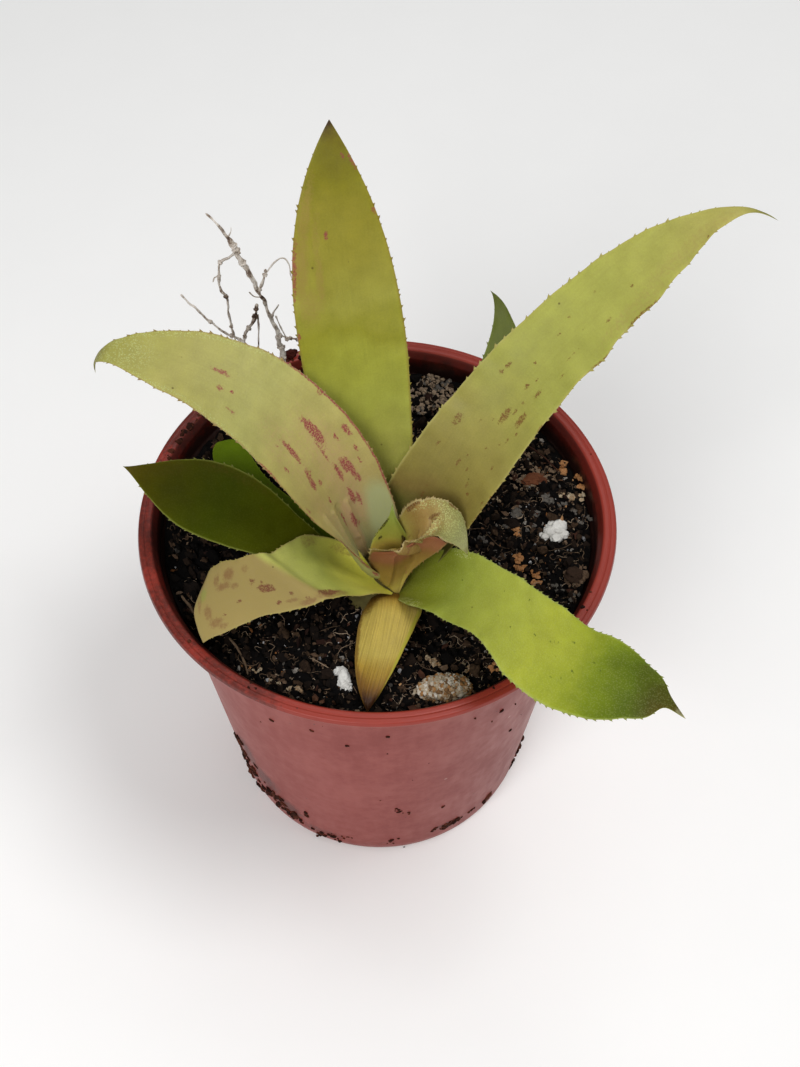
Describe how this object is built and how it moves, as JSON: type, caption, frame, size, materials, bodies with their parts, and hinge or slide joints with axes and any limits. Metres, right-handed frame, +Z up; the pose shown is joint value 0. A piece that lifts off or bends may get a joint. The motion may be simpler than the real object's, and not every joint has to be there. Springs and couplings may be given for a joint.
{
  "type": "neoregelia bromeliad in a nursery pot",
  "caption": "Young neoregelia bromeliad: a loose rosette of spiny-edged, blotched strap leaves on a short stem, in a round tapered plastic nursery pot filled with dark mix.",
  "frame": {"origin": "centre of the pot's foot, on the ground it stands on", "axes": "+Z up along the pot's axis, +Y towards the back of the plant, +X to the right as seen from the front"},
  "size_m": [0.152, 0.1297, 0.1944],
  "materials": {
    "pot_plastic": "thin terracotta-coloured plastic, satin, dusty on the wall",
    "potting_mix": "dark peat and bark, rough and matt",
    "stem": "pale fibrous stem, matt",
    "leaf_heart": "young leaf, satin",
    "leaf_curled": "rolled beige leaf with a pink back, satin",
    "leaf_left": "pale leaf with magenta blotches, satin",
    "leaf_right": "yellow-green leaf, satin",
    "leaf_back": "olive leaf with tan streaks, satin",
    "leaf_folded": "yellow-green to beige leaf, satin",
    "leaf_front_right": "green leaf, satin",
    "leaf_left_dark": "dark olive leaf, satin",
    "leaf_back_right": "dark green leaf, satin",
    "leaf_yellow": "ageing yellow leaf, matt",
    "leaf_left_small": "green leaf, satin",
    "perlite": "white expanded grain, matt",
    "pumice": "beige porous grain, matt",
    "fibre_clump": "brown fibre, matt",
    "bark": "reddish bark, matt",
    "dry_root": "grey-brown dry root, matt",
    "twig": "brown twig, matt",
    "straw": "pale straw, matt"
  },
  "bodies": {
    "root": {"pot": "pot_plastic", "soil": "potting_mix", "stem": "stem", "leaf_heart": "leaf_heart", "leaf_curled": "leaf_curled", "leaf_left": "leaf_left", "leaf_right": "leaf_right", "leaf_back": "leaf_back", "leaf_folded": "leaf_folded", "leaf_front_right": "leaf_front_right", "leaf_left_dark": "leaf_left_dark", "leaf_back_right": "leaf_back_right", "leaf_yellow": "leaf_yellow", "leaf_left_small": "leaf_left_small", "perlite_front": "perlite", "pumice_front": "pumice", "perlite_right": "perlite", "clump_right": "fibre_clump", "bark_chip_right": "bark", "rim_crumb": "bark", "dry_roots": "dry_root", "twig_front_left": "twig", "straw_left": "straw", "rootlet_right": "dry_root"}
  },
  "joints": []
}
